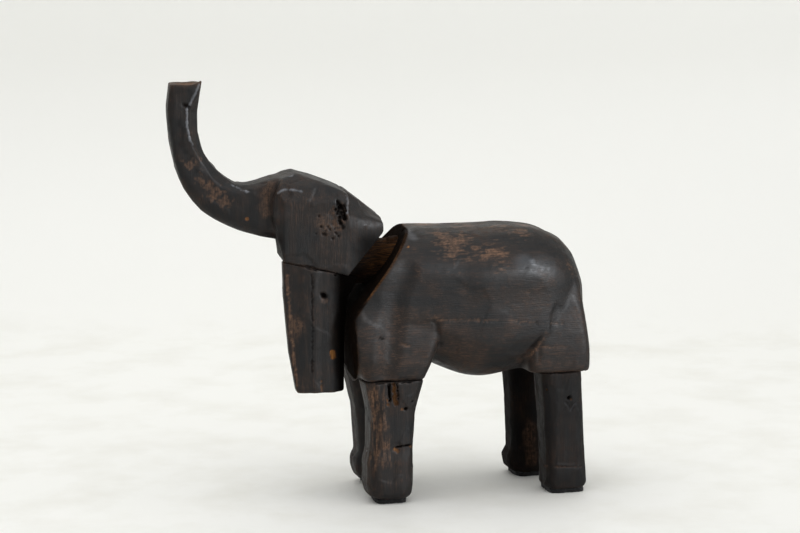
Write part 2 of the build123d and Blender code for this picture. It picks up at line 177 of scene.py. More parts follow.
# %% Cut facets
def knife_facets(block, across, strength, deepest, seed):
    places = points_of(block)
    normals = normals_of(block)
    area = sum(face.area for face in block.data.polygons) / MM**2
    chooser = np.random.default_rng(seed)
    cuts = chooser.choice(len(places), int(area / across**2), replace=False)
    nearest = np.empty(len(places), int)
    for start in range(0, len(places), 4000):
        some = slice(start, start + 4000)
        apart = ((places[some, None] - places[None, cuts]) ** 2).sum(2)
        turned = 1.0 - normals[some] @ normals[cuts].T
        nearest[some] = cuts[np.argmin(apart + turned * 6.0 * across**2, axis=1)]
    rise = ((places[nearest] - places) * normals[nearest]).sum(1) * strength
    rise = np.clip(rise, -deepest, deepest) - 0.15
    move_points(block, places + normals * rise[:, None])
    rub_smooth(block, 2)


# %% [markdown]
# ## Single marks
# A gouge, a crack, a wormhole or a rubbed ridge is a stroke along a path. Points
# within the stroke's width are pressed in along their normals, or pulled out
# when the depth is negative. The same stroke can lay paint, such as raw wood in
# a split or soot in a seam.

# %% Strokes
def distance_to_path(places, path):
    """Millimetres from each place to a path of straight runs."""
    path = [np.asarray(stop, float) for stop in path]
    if len(path) == 1:
        return np.linalg.norm(places - path[0], axis=1)
    nearest = np.full(len(places), 1e9)
    for start, end in zip(path, path[1:]):
        run = end - start
        along = np.clip(((places - start) @ run) / (run @ run), 0.0, 1.0)
        away = np.linalg.norm(places - start - along[:, None] * run, axis=1)
        nearest = np.minimum(nearest, away)
    return nearest


def stroke(block, path, width, depth=0.0, ragged=0.0, seed=1, crisp=1.0, **paint):
    """Press a path into the skin, and lay paint such as raw=1.0 over it."""
    places = points_of(block)
    away = distance_to_path(places, path)
    away = away + ragged * width * lattice_noise(places, max(width, 1.5), seed)
    inside = np.clip(1.0 - away / width, 0.0, 1.0)
    inside = np.clip(inside * crisp, 0.0, 1.0)
    inside = inside * inside * (3.0 - 2.0 * inside)
    if depth:
        move_points(block, places - normals_of(block) * (inside * depth)[:, None])
    for layer, amount in paint.items():
        set_paint(block, layer, np.maximum(paint_of(block, layer), inside * amount))


def speckled_rub(block, place, size, seed, grain=(9.0, 2.6, 2.6), amount=1.0):
    """A rubbed place broken into flecks, which lie along the grain."""
    places = points_of(block)
    near = np.clip(1.25 - distance_to_path(places, [place]) / size, 0.0, 1.0)
    flecks = lattice_noise(places, grain, seed) + 0.7 * lattice_noise(places, np.array(grain) / 2, seed + 50)
    shown = np.clip((flecks + 1.3 * near - 0.95) * 2.2, 0.0, 1.0) * (near > 0.0)
    set_paint(block, "rubbed", np.maximum(paint_of(block, "rubbed"), shown * (0.35 + 0.65 * near) * amount))


def rubbed_edges(block, amount, seed):
    """Find the corners that stand out, and paint them as rubbed; paint the hollows darker."""
    mesh = block.data
    places = points_of(block)
    ends = np.empty(len(mesh.edges) * 2, int)
    mesh.edges.foreach_get("vertices", ends)
    ends = ends.reshape(-1, 2)
    count = np.bincount(ends.ravel(), minlength=len(places))[:, None]

    def spread(values):
        total = np.zeros_like(values)
        np.add.at(total, ends[:, 0], values[ends[:, 1]])
        np.add.at(total, ends[:, 1], values[ends[:, 0]])
        return total / count

    step = np.linalg.norm(places[ends[:, 0]] - places[ends[:, 1]], axis=1).mean()
    around = places
    for _ in range(4):
        around = spread(around)
    bend = ((places - around) * normals_of(block)).sum(1)[:, None] / step
    for _ in range(2):
        bend = spread(bend)
    patchy = 0.65 + 0.5 * lattice_noise(places, 9.0, seed)
    worn = np.clip((bend[:, 0] - 0.16) * 2.6, 0.0, 1.0) * patchy * amount
    set_paint(block, "rubbed", np.maximum(paint_of(block, "rubbed"), worn))
    set_paint(block, "soot", np.maximum(paint_of(block, "soot"), np.clip((-bend[:, 0] - 0.1) * 2.0, 0.0, 0.8)))


# %% [markdown]
# ## Places on the blocks
# Marks on the torso and legs are given straight in the row's frame, in
# millimetres. The head is turned six degrees, so its marks are easier to give
# as forward, left and up in the head's own frame, and are then turned.

# %% Head frame to row frame
CHEST_FRONT = 31.0
HEAD_TURN = math.radians(6.0)


def on_head(forward, left, up):
    x = CHEST_FRONT + forward * math.cos(HEAD_TURN) + left * math.sin(HEAD_TURN)
    y = left * math.cos(HEAD_TURN) - forward * math.sin(HEAD_TURN)
    return (x, y, up)


def head_frame(places):
    """Forward, left and up for each place, in the head's own frame."""
    x = places[:, 0] - CHEST_FRONT
    y = places[:, 1]
    forward = x * math.cos(HEAD_TURN) - y * math.sin(HEAD_TURN)
    left = x * math.sin(HEAD_TURN) + y * math.cos(HEAD_TURN)
    return forward, left, places[:, 2]


def back_to_row(forward, left, up):
    x = CHEST_FRONT + forward * math.cos(HEAD_TURN) + left * math.sin(HEAD_TURN)
    y = left * math.cos(HEAD_TURN) - forward * math.sin(HEAD_TURN)
    return np.stack([x, y, up], axis=1)


# %% [markdown]
# ## The head and trunk
# The trunk was split down from a squared billet, and its upper inner corner was
# pared off in one long cut. That leaves the crisp ridge down its side. The cut
# is a plane leaning between the side and the inner face, and points beyond it
# are brought back to it. It narrows to nothing at the tip and fades at the root.

# %% Pare the trunk
TRUNK_LINE = [
    (139, 375), (142.5, 352), (143, 334), (140, 318), (134, 303),
    (125, 289), (114, 278), (103, 270), (92, 265.5), (79, 263.5), (62, 264),
]  # forward and up, along the middle of the trunk
HALF_DEPTH = [14.5, 13.3, 13.0, 13.6, 15.5, 17.0, 18.5, 19.5, 21.0, 24.0, 26.0]
HALF_WIDTH = [15.5, 15.0, 15.5, 15.5, 16.5, 17.5, 18.5, 20.0, 21.5, 23.0, 23.0]
CUT_WIDTH = [1.5, 10.5, 9.5, 9.0, 9.5, 10.5, 11.0, 8.0, 0.0, -8.0, -8.0]
CUT_LEAN = math.radians(49)


def pare_trunk(block, side):
    places = points_of(block)
    forward, left, up = head_frame(places)
    line = np.array(TRUNK_LINE, float)
    best = np.full(len(places), 1e9)
    inward = np.zeros(len(places))
    limit = np.full(len(places), 1e9)
    normal_forward = np.zeros(len(places))
    normal_up = np.zeros(len(places))
    for number in range(len(line) - 1):
        run = line[number + 1] - line[number]
        length = np.hypot(*run)
        run = run / length
        toward = np.array([run[1], -run[0]])
        offset_forward = forward - line[number, 0]
        offset_up = up - line[number, 1]
        along = np.clip((offset_forward * run[0] + offset_up * run[1]) / length, 0.0, 1.0)
        gap_forward = offset_forward - along * run[0] * length
        gap_up = offset_up - along * run[1] * length
        away = np.hypot(gap_forward, gap_up)
        here = away < best
        best = np.where(here, away, best)
        depth = HALF_DEPTH[number] + along * (HALF_DEPTH[number + 1] - HALF_DEPTH[number])
        width = HALF_WIDTH[number] + along * (HALF_WIDTH[number + 1] - HALF_WIDTH[number])
        cut = CUT_WIDTH[number] + along * (CUT_WIDTH[number + 1] - CUT_WIDTH[number])
        inward = np.where(here, gap_forward * toward[0] + gap_up * toward[1], inward)
        limit = np.where(here, math.sin(CUT_LEAN) * (depth - cut) + math.cos(CUT_LEAN) * width, limit)
        normal_forward = np.where(here, toward[0], normal_forward)
        normal_up = np.where(here, toward[1], normal_up)
    beyond = inward * math.sin(CUT_LEAN) + side * left * math.cos(CUT_LEAN) - limit
    beyond = np.where((forward > 72.0) & (best < 40.0), np.clip(beyond, 0.0, 6.0), 0.0)
    forward = forward - beyond * math.sin(CUT_LEAN) * normal_forward
    up = up - beyond * math.sin(CUT_LEAN) * normal_up
    left = left - beyond * math.cos(CUT_LEAN) * side
    move_points(block, back_to_row(forward, left, up))
    return beyond


def fair_nape(block):
    """Blend the step behind the cheek into the nape, except near the top."""
    forward, left, up = head_frame(points_of(block))
    behind = np.clip(-forward / 30.0, 0.0, 1.0)
    low = np.clip((262.0 - up) / 14.0, 0.0, 1.0)
    target = 36.6 - 6.0 * behind**1.5
    flank = (forward < 1.0) & (np.abs(left) > 22.0) & (np.abs(left) < target) & (up > 203.0)
    wider = np.where(flank, np.abs(left) + (target - np.abs(left)) * low, np.abs(left))
    move_points(block, back_to_row(forward, np.sign(left) * wider, up))


head = even_skin("head", 0.95)
fair_nape(head)
rub_smooth(head, 9)
knife_facets(head, 13.0, 0.55, 0.55, seed=11)
uneven(head, 16.0, 0.35, seed=12)
pared = pare_trunk(head, side=1)
pare_trunk(head, side=-1)
rub_smooth(head, 1)
print("head skin points:", len(head.data.vertices), "pared:", int((pared > 0.5).sum()))

# %% [markdown]
# The sawn tip is a little dished, and its inner corner stands up. The ridge of
# the long cut is polished and carries a painted highlight, and the notch at its top
# was one slip of the knife. Behind the cheek there is a rotten gouge, and small
# pits round it. Painted highlights lie on the brow, cheek and nape ridges, and
# painted shade lies under the trunk and under the nape.

# %% Marks on the trunk and head
def dish_tip(block):
    places = points_of(block)
    forward, left, up = head_frame(places)
    from_middle = np.hypot(forward - 139.0, left) / 15.0
    on_top = np.clip((up - 371.5) / 2.5, 0.0, 1.0) * (forward > 115.0)
    up = up - on_top * 2.2 * np.clip(1.0 - from_middle**2, 0.0, 1.0)
    inner_corner = np.clip(1.0 - np.hypot(forward - 127.0, left - 9.0) / 9.0, 0.0, 1.0)
    up = up + on_top * 2.8 * inner_corner
    move_points(block, back_to_row(forward, left, up))
    end_grain = on_top * np.clip(1.25 - from_middle, 0.0, 1.0)
    set_paint(block, "raw", np.maximum(paint_of(block, "raw"), end_grain * 0.45))


for layer in LAYERS:
    set_paint(head, layer, paint_of(head, layer))
dish_tip(head)
RIDGE = [
    (171.6, 0.2, 354), (171.8, 0.3, 339.2), (169.5, 0.8, 326), (160.7, 0.8, 315.2),
    (147.7, 1.5, 297.2), (133.2, 4.4, 285.6), (120, 10.0, 279.5),
]


# The ridge is polished and painted grey-blue as a highlight, with a line of painted shade just inside it; the tip's
# inner corner gets a painted highlight too
stroke(head, [(x - 2.2, y, up + 1.6) for x, y, up in RIDGE], 2.0, 0.6, ragged=0.3, seed=20, soot=0.25)
stroke(head, RIDGE, 1.5, -0.6, ragged=0.45, seed=21, crisp=1.3, wax=0.8)
stroke(head, [(175, -0.5, 357.5), (169.5, 0.2, 355)], 2.4, 1.7, ragged=0.4, seed=22, soot=0.9)
stroke(head, [(169.0, 0.0, 357), (160.8, 0.8, 374)], 1.6, -0.6, ragged=0.4, seed=23, crisp=1.3, wax=0.6)
stroke(head, [(176, -1, 347), (177, -1, 325), (168, -1, 306)], 3.5, ragged=0.8, seed=24, soot=0.3)
stroke(head, [(121.6, 12.0, 256.0)], 2.1, 0.4, crisp=2.0, raw=1.0)
GOUGE = [
    (9, 269, 2.2, 1.5), (8, 265, 3.0, 3.0), (6, 262, 2.8, 3.5), (9, 260, 2.6, 2.5),
    (5, 257, 2.4, 3.0), (8, 254, 2.0, 2.0), (4, 266, 1.8, 2.0), (11, 263, 1.6, 1.5),
]  # forward, up, half width, depth
for number, (forward, up, size, deep) in enumerate(GOUGE):
    stroke(head, [on_head(forward + 1, 37, up + 2), on_head(forward - 1, 37, up - 2)], size, deep, ragged=0.7, seed=300 + number, crisp=1.6, soot=0.95)
stroke(head, [on_head(14, 37, 262), on_head(12, 37, 253), on_head(9, 37, 248)], 4.5, 0.6, ragged=0.9, seed=32, rubbed=0.5, soot=0.25)
stroke(head, [on_head(16, 37, 246)], 15.0, ragged=0.9, seed=33, rubbed=0.35)
PITS = [
    (19, 250, 2.0), (22, 243, 2.2), (6, 249, 1.8), (15, 239, 1.6), (27, 259, 1.5), (12, 244, 1.7),
    (25, 250, 1.2), (17, 247, 1.5), (21, 246, 1.3), (13, 248, 1.4), (30, 244, 1.3), (10, 241, 1.2),
]  # forward, up, half width
for number, (forward, up, size) in enumerate(PITS):
    stroke(head, [on_head(forward, 37, up)], size, 0.9, ragged=0.8, seed=330 + number, crisp=1.5, soot=0.75)
# Painted highlights: grey-blue lines along the nape's edge, the two brow ridges and the ridge behind the cheek, and a
# faint grey-blue sheen on the cheek
stroke(head, [on_head(-2, 34, 254), on_head(-9, 33, 251), on_head(-15, 33, 250)], 1.5, -0.3, ragged=0.3, seed=35, wax=1.0)
stroke(head, [(94.5, 22, 284), (91, 16, 289.5), (82, 15.7, 293), (72, 8, 293.5)], 1.5, -0.5, ragged=0.35, seed=36, wax=0.7)
stroke(head, [(96, 25, 280), (91, 26, 283), (85, 27, 282.6), (75.7, 28.5, 280.5)], 1.5, -0.5, ragged=0.35, seed=37, wax=0.75)
stroke(head, [(92, 21, 286), (84, 22, 288), (74, 20, 289)], 2.2, 0.8, ragged=0.3, seed=38)
stroke(head, [on_head(62, 31, 262)], 12.0, ragged=0.5, seed=39, wax=0.12)
stroke(head, [on_head(3, 34, 284), on_head(1, 37, 272), on_head(2, 37, 262)], 1.8, -0.2, ragged=0.4, seed=40, wax=0.7)
stroke(head, [on_head(70, 22, 288), on_head(74, 24, 276), on_head(73, 24, 262)], 7.0, ragged=0.5, seed=41, rubbed=0.4)
for x, y, up, size in ((170, 1, 303, 7), (156, 4, 287, 9), (146, 6, 280, 7), (160, 3, 293, 6), (140, 9, 273, 8), (163, 1, 308, 5), (150, 5, 276, 6)):
    speckled_rub(head, (x, y, up), size * 1.3, int(x), grain=(4.0, 3.0, 4.0), amount=0.55)
rubbed_edges(head, 0.55, seed=51)
# Painted shade: darker at the throat under the trunk, and under the back of the nape
forward, left, up = head_frame(points_of(head))
throat_shade = np.clip((forward - 56.0) / 8.0, 0.0, 1.0) * np.clip((246.0 - up) / 8.0, 0.0, 1.0)
under_nape_shade = np.clip((2.0 - forward) / 16.0, 0.0, 1.0) * np.clip((250.0 - up) / 14.0, 0.0, 1.0)
set_paint(head, "soot", np.maximum(paint_of(head, "soot"), np.maximum(throat_shade * 0.75, under_nape_shade * 0.65)))

# %% [markdown]
# ## The ears
# Each ear hangs like a slab of plank under the head. Its grain runs down. The
# joint to the head has opened in the middle, a knot has fallen out near the
# top, and a chip shows fresh orange wood low down.

# %% Ears
def seam_up(forward):
    """Height of the joint between head and ears, this far in front of the chest."""
    return 219.0 - 0.235 * (59.0 - forward)


def turn_back(block):
    """Round the rear third of an ear away towards the neck."""
    forward, left, up = head_frame(points_of(block))
    away = np.clip(0.03 * np.clip(19.0 - forward, 0.0, 40.0) ** 2, 0.0, 9.0)
    outer = np.clip((np.abs(left) - 24.0) / 8.0, 0.0, 1.0)
    low = np.clip((seam_up(forward) + 6.0 - up) / 30.0, 0.25, 1.0)
    move_points(block, back_to_row(forward, left - np.sign(left) * away * outer * low, up))


left_ear = even_skin("left_ear", 0.85)
right_ear = even_skin("right_ear", 0.95)
for ear, seed in ((left_ear, 61), (right_ear, 71)):
    turn_back(ear)
    rub_smooth(ear, 8)
    knife_facets(ear, 15.0, 0.5, 0.35, seed=seed)
    uneven(ear, (5.0, 5.0, 60.0), 0.25, seed=seed + 1)
    for layer in LAYERS:
        set_paint(ear, layer, paint_of(ear, layer))
    side = 1 if ear is left_ear else -1
    seam = [on_head(forward, side * 37.0, seam_up(forward)) for forward in (58, 44, 30, 16, 4)]
    for block in (ear, head):
        stroke(block, seam, 1.3, 0.8, ragged=0.6, seed=seed + 2, soot=0.75)
        stroke(block, seam[1:3], 1.9, 1.7, ragged=0.5, seed=seed + 3, soot=1.0)
    rubbed_edges(ear, 0.6, seed=seed + 4)
    # Painted shade: each ear darkens towards its rear, nearly black where it turns in beside the neck
    forward, left, up = head_frame(points_of(ear))
    shaded = np.clip((19.0 - forward) / 12.0, 0.0, 0.97)
    set_paint(ear, "soot", np.maximum(paint_of(ear, "soot"), shaded))
stroke(left_ear, [(57.6, 33.9, 188.1)], 3.6, 2.4, ragged=0.35, seed=81, crisp=1.7, soot=1.0)
stroke(left_ear, [(57.6, 33.9, 184.5)], 4.5, 0.3, ragged=0.6, seed=82, rubbed=0.6)
stroke(left_ear, [(50.2, 34.4, 136.5), (49.0, 34.4, 133)], 3.0, 0.7, ragged=0.5, seed=83, crisp=2.5, raw=1.0)
stroke(left_ear, [(46.8, 34.5, 206.5)], 1.6, 2.2, crisp=2.0, soot=1.0)
stroke(left_ear, [(68.5, 33.3, 207), (68.2, 33.4, 165), (68.7, 33.3, 120)], 1.6, 0.5, ragged=0.8, seed=84, soot=0.6)
stroke(left_ear, [(89.4, 27.7, 207), (86.3, 28.5, 158), (81.5, 29.8, 108)], 2.4, ragged=0.6, seed=85, rubbed=0.8)
stroke(left_ear, [(60.5, 34, 112), (60.0, 34, 103)], 1.2, 0.6, ragged=0.6, seed=86, raw=0.5)
stroke(left_ear, [(81.0, 30, 160)], 9.0, ragged=0.9, seed=87, rubbed=0.4)
print("ear skin points:", len(left_ear.data.vertices))

# %% [markdown]
# ## The torso
# Age shows most on the back, where hands have rubbed the stain through to tan
# wood. The neck cut was never stained, so its rim is raw. A fine crack runs
# back across the shoulder, and the legs' stubs are ragged where they meet the
# lower legs.

# %% Torso
torso = even_skin("torso", 1.45)
rub_smooth(torso, 6)
knife_facets(torso, 24.0, 0.45, 0.5, seed=101)
uneven(torso, (60.0, 9.0, 9.0), 0.15, seed=102)
uneven(torso, 30.0, 0.4, seed=103)
for layer in LAYERS:
    set_paint(torso, layer, paint_of(torso, layer))


stroke(torso, [(22, 60, 164), (21, 60, 150), (17, 60, 134)], 20.0, -1.8)
stroke(torso, [(-12, 60, 212), (-2, 60, 190), (1, 60, 160), (6, 60, 134), (8, 60, 118)], 15.0, 2.6)
stroke(torso, [(22, -60, 164), (21, -60, 150), (17, -60, 134)], 20.0, -1.8)
stroke(torso, [(-12, -60, 212), (-2, -60, 190), (1, -60, 160), (8, -60, 118)], 15.0, 2.6)
stroke(torso, [(-84, 60, 200), (-150, 56, 200)], 24.0, -0.9)


def neck_cut_paint(block):
    """Raw wood round the rim of the neck cut, painted shade inside it, and painted shade on the chest front behind the
    ear.
    """
    places = points_of(block)
    forward, left, up = head_frame(places)
    cut_line = -(up - 169.0) * math.tan(math.radians(36.0))
    behind = np.abs(forward - np.where(up > 169.0, cut_line, -(169.0 - up) * 0.07))
    on_cut = np.clip(3.0 - behind, 0.0, 1.0) * (up > 112.0)
    rim = np.clip(paint_of(block, "rubbed") * 4.0, 0.0, 1.0) * (up > 175.0)
    patchy = 0.65 + 0.6 * lattice_noise(places, 5.0, 104)
    set_paint(block, "raw", np.maximum(paint_of(block, "raw"), on_cut * patchy * (0.25 + 0.6 * rim)))
    # Painted shade: the cut face darkens away from its rim, and the lower chest front behind the ear is painted near
    # black
    shaded = np.clip((forward + 7.0) / 5.0, 0.0, 1.0) * np.clip((182.0 - up) / 10.0, 0.0, 1.0)
    shaded = shaded * np.clip(normals_of(block)[:, 0] * 2.2 - 0.3, 0.0, 1.0)
    set_paint(block, "soot", np.maximum(paint_of(block, "soot"), np.maximum(on_cut * (0.95 - 0.85 * rim), shaded * 0.95)))


rubbed_edges(torso, 0.5, seed=153)
neck_cut_paint(torso)
for x, y, up, size in ((-22, 10, 240, 2.2), (-17, 18, 233, 2.6), (-7, 24, 222, 2.0), (2, 30, 208, 2.4), (18, 40, 190, 2.2)):
    stroke(torso, [(x, y, up)], size, 1.8, ragged=0.6, seed=int(up), crisp=1.6, soot=0.9)
stroke(torso, [(22.6, 57.1, 157.4), (12.8, 57.6, 152.6), (1.0, 58.0, 148.5)], 1.5, 1.0, ragged=0.5, seed=106, soot=0.8)
stroke(torso, [(1.0, 58, 148.5), (-14, 58, 144)], 1.3, 0.5, ragged=0.6, seed=107, rubbed=0.7)
stroke(torso, [(-34, 60, 166), (-40, 58, 161), (-44, 52.5, 142)], 3.0, 0.8, ragged=0.5, seed=108, soot=0.35)
stroke(torso, [(-120.2, 58.7, 209.6), (-127, 58.5, 207)], 1.8, 1.0, ragged=0.6, seed=109, soot=0.5)
TAN_PATCHES = [
    (-50, 34, 237.6, 10), (-56, 40, 234, 11), (-53, 44.5, 230.8, 7), (-76, 49, 226.1, 5), (-87, 51.6, 223.3, 8),
    (-98, 53, 221, 8), (-94, 51, 226, 8), (-128, 31, 237.8, 7), (-121, 34, 236, 6), (-66, 38, 236, 9),
    (-100, 58, 206, 6), (-168, 45, 205, 5), (-60, 44, 219, 12), (-45, -20, 240, 16), (-100, -35, 235, 14),
    (-135, 5, 240, 12), (-76, 5, 242, 15), (-110, 20, 240, 10),
]
for number, (x, y, up, size) in enumerate(TAN_PATCHES):
    speckled_rub(torso, (x, y, up), size * 1.7, 120 + number, grain=(7.0, 2.2, 2.2), amount=0.8)
RED_STREAKS = [
    ((-40, 59, 166), (-95, 61, 164)), ((-105, 61, 163), (-156, 57, 157)), ((-20, 59, 158), (-34, 59, 157)),
    ((-132, 58, 137), (-160, 57, 136)), ((-30, 58, 170), (-44, 59, 168)), ((-110, 61, 190), (-124, 60, 188)),
]
for number, path in enumerate(RED_STREAKS):
    stroke(torso, path, 1.6, 0.25, ragged=0.9, seed=140 + number, rubbed=0.45)
stroke(torso, [(-16.3, 44.4, 230.4)], 1.3, crisp=2.0, raw=1.0)
stroke(torso, [(-4.0, 56.3, 199.8)], 1.5, crisp=2.0, raw=1.0)
# A faint grey-blue painted highlight on the front corner of the back
stroke(torso, [(-20, 19, 242), (-24, 36, 236)], 7.0, ragged=0.4, seed=151, wax=0.25)
for x, y, low, far in ((-3.0, 35, 112, 27), (-3.0, -35, 112, 27), (-159.0, 35, 112, 20), (-150.0, -35, 112, 20)):
    rim = [(x + far, y - 21, low), (x + far, y + 21, low), (x - far, y + 21, low), (x - far, y - 21, low), (x + far, y - 21, low)]
    stroke(torso, rim, 2.0, 0.9, ragged=0.6, seed=int(160 + far), soot=0.7)
# Painted highlight on the upper flank, where the window's shine falls
stroke(torso, [(-120, 58, 210), (-145, 57, 204)], 11.0, ragged=0.8, seed=154, wax=0.2)
stroke(torso, [(-128, 58, 213), (-140, 57, 208)], 4.0, ragged=0.95, seed=155, wax=0.5)
# Painted shade in the crease in front of the haunch, and a lighter brown painted highlight along the haunch's edge just
# behind it
HAUNCH_EDGE = [(-131, 57, 160), (-137, 57, 148), (-130, 56, 138), (-123, 53, 128), (-117, 48, 120)]
stroke(torso, HAUNCH_EDGE, 3.2, 1.2, ragged=0.5, seed=156, soot=0.55)
stroke(torso, [(x - 4.0, y, up) for x, y, up in HAUNCH_EDGE], 2.0, -0.3, ragged=0.8, seed=157, rubbed=0.55)
print("torso skin points:", len(torso.data.vertices))

# %% [markdown]
# ## The lower legs
# The legs are upright pieces whose grain runs down. The near front leg has had
# the worst of it: its top has split, beetles have bored it, and a crack goes
# round its shin. The rear legs have a step above the toes.

# %% Legs
# Painted shade: each leg is painted darker by its share, the far and rear legs most, as they stand further in shade
PAINTED_LEG_SHADE = {"front_left": 0.1, "front_right": 0.2, "rear_left": 0.35, "rear_right": 0.7}
legs = {}
for number, name in enumerate(("front_left", "front_right", "rear_left", "rear_right")):
    leg = even_skin(name + "_leg", 0.75 if name.endswith("left") else 0.95)
    rub_smooth(leg, 12)
    knife_facets(leg, 12.0, 0.6, 0.45, seed=200 + number)
    uneven(leg, (4.0, 4.0, 45.0), 0.25, seed=210 + number)
    for layer in LAYERS:
        set_paint(leg, layer, paint_of(leg, layer))
    low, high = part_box(name + "_leg")
    x1, y1, x2, y2 = low.x / MM, low.y / MM, high.x / MM, high.y / MM
    if name.startswith("front"):
        x2 = min(x2, 25.0)
    top = [(x1, y1, 112), (x2, y1, 112), (x2, y2, 112), (x1, y2, 112), (x1, y1, 112)]
    stroke(leg, top, 1.9, 0.9, ragged=0.6, seed=220 + number, soot=0.75)
    rubbed_edges(leg, 0.5, seed=230 + number)
    set_paint(leg, "soot", np.maximum(paint_of(leg, "soot"), PAINTED_LEG_SHADE[name]))
    legs[name] = leg

split_leg = legs["front_left"]
stroke(split_leg, [(4.2, 56, 112), (3.4, 55.2, 102), (2.6, 55, 95)], 1.6, 2.8, ragged=0.4, seed=241, crisp=1.8, soot=1.0)
stroke(split_leg, [(0.4, 56, 112), (-1.4, 55, 102), (-2.5, 54.7, 92)], 2.4, 2.2, ragged=0.5, seed=242, crisp=1.6, raw=0.6, soot=0.55)
stroke(split_leg, [(-2.6, 56, 111), (-4.2, 55, 102), (-4.6, 54.6, 96)], 1.0, 2.0, ragged=0.5, seed=243, crisp=1.6, soot=0.9)
stroke(split_leg, [(5.2, 55, 96), (4.0, 55, 90)], 1.6, 1.2, ragged=0.5, seed=244, raw=0.9)
stroke(split_leg, [(-11.8, 54.3, 86.7)], 1.9, 2.4, crisp=1.8, ragged=0.3, seed=245, soot=1.0)
stroke(split_leg, [(-8.5, 54.3, 86.2)], 1.8, 0.3, ragged=0.5, seed=246, raw=0.5)
stroke(split_leg, [(-18.2, 54.5, 92.8)], 1.5, 2.2, crisp=1.8, soot=1.0)
stroke(split_leg, [(-2.8, 54, 52.4), (-11, 54, 53.0), (-22, 50, 53.6)], 1.1, 1.6, ragged=0.35, seed=247, crisp=1.6, soot=1.0)
stroke(split_leg, [(-1.5, 54, 50.5), (-4.0, 54, 48.5)], 2.2, 0.8, ragged=0.5, seed=248, raw=0.7)
stroke(split_leg, [(-17, 52, 52), (-20, 50, 50)], 2.0, 0.8, ragged=0.5, seed=249, raw=0.6)
for number, (x, top, bottom, wide) in enumerate(
    ((19, 106, 84, 2.4), (15, 102, 60, 3.2), (10, 98, 72, 2.4), (17, 70, 40, 2.6), (12, 60, 42, 3.0), (6, 58, 40, 2.4), (22, 96, 62, 1.8))
):
    bared = lattice_noise(points_of(split_leg), (1.6, 1.6, 9.0), 260 + number)
    away = distance_to_path(points_of(split_leg), [(x, 53, top), (x - 1, 53, bottom)])
    shown = np.clip(1.5 - away / (2.4 * wide), 0.0, 1.0) * np.clip(bared * 2.0 + 0.15, 0.0, 1.0)
    set_paint(split_leg, "rubbed", np.maximum(paint_of(split_leg, "rubbed"), shown * 0.75))
for number in range(9):
    stroke(split_leg, [(19.5 + 0.4 * (number % 2), 36 + number % 3, 72.0 - 3.6 * number)], 0.95, crisp=2.0, wax=1.0)

rear_leg = legs["rear_left"]
stroke(rear_leg, [(-164.1, 54.4, 88.4)], 2.2, 2.4, crisp=1.8, ragged=0.3, seed=271, soot=1.0)
stroke(rear_leg, [(-165.8, 54.4, 87.2)], 1.6, 0.4, ragged=0.4, seed=272, raw=0.5)
stroke(rear_leg, [(-143.2, 51.6, 96.3)], 1.7, 1.8, crisp=1.8, raw=0.4, soot=0.8)
# A V-shaped chip with a faint painted highlight along it
stroke(rear_leg, [(-160.5, 54.3, 84.5), (-166.2, 54.2, 77.0), (-171.5, 54.3, 84.0)], 1.3, 0.9, ragged=0.5, seed=273, wax=0.15)
stroke(rear_leg, [(-166, 54.2, 81.5)], 4.0, 0.6, ragged=0.3, seed=274)
stroke(rear_leg, [(-145.7, 40.2, 24), (-146, 54, 25), (-156.3, 54.0, 25.0), (-181, 53.3, 23.5)], 1.4, 0.9, ragged=0.5, seed=275, soot=0.35, rubbed=0.5)
far_leg = legs["rear_right"]
stroke(legs["front_right"], [(22, -20, 111), (20, -17, 104)], 3.5, ragged=0.6, seed=283, raw=0.7)
stroke(far_leg, [(-150, -16, 50), (-152, -16, 12)], 7.0, ragged=0.9, seed=281, rubbed=0.7)
stroke(far_leg, [(-142, -16, 24), (-160, -16, 24)], 1.4, 0.8, ragged=0.5, seed=282, soot=0.4)
print("leg skin points:", {name: len(leg.data.vertices) for name, leg in legs.items()})

# %% [markdown]
# ## The neck peg and the pads
# The peg is the only piece nobody stained: raw turned wood with fine rings, and
# a rough lump of glue and fibre on top. The pads are cut from black felt with
# scissors, so their edges wander and fray a little.

# %% Peg and pads
peg = even_skin("neck_peg", 1.0)
rub_smooth(peg, 1)
uneven(peg, (40.0, 2.4, 2.4), 0.35, seed=301)
for layer in LAYERS:
    set_paint(peg, layer, paint_of(peg, layer))
set_paint(peg, "raw", np.ones(len(peg.data.vertices)))
stroke(peg, [(-14, 6, 233), (-8, 10, 231)], 5.5, -2.2, ragged=0.7, seed=302, crisp=1.4, soot=0.5)
# Painted shade on the peg's lower part and its front, where it sits between head and torso
stroke(peg, [(2, 18, 190), (20, 18, 188)], 24.0, ragged=0.5, seed=303, soot=0.95)
stroke(peg, [(24, 20, 205), (24, 14, 228)], 12.0, ragged=0.5, seed=304, soot=0.85)

pads = {}
for number, name in enumerate(legs):
    pad = even_skin(name + "_pad", 0.6)
    uneven(pad, 4.0, 0.5, seed=310 + number)
    uneven(pad, 1.5, 0.25, seed=320 + number)
    places = points_of(pad)
    places[:, 2] = np.clip(places[:, 2], 0.0, 4.2)
    move_points(pad, places)
    pads[name] = pad
print("pad points:", {name: len(pad.data.vertices) for name, pad in pads.items()})

# %% [markdown]
# ## Nodes for the finishes
# One small function adds a node with its settings and its links, so that each
# finish below reads as a list of its layers. Colours are written as the hex
# values a paint chart would give, and one function turns them to linear light.

# %% Node helpers
def linear(code):
    """A hex colour as the linear values that a shader needs."""
    channels = []
    for start in (1, 3, 5):
        value = int(code[start:start + 2], 16) / 255
        channels.append(value / 12.92 if value <= 0.04045 else ((value + 0.055) / 1.055) ** 2.4)
    return (*channels, 1.0)


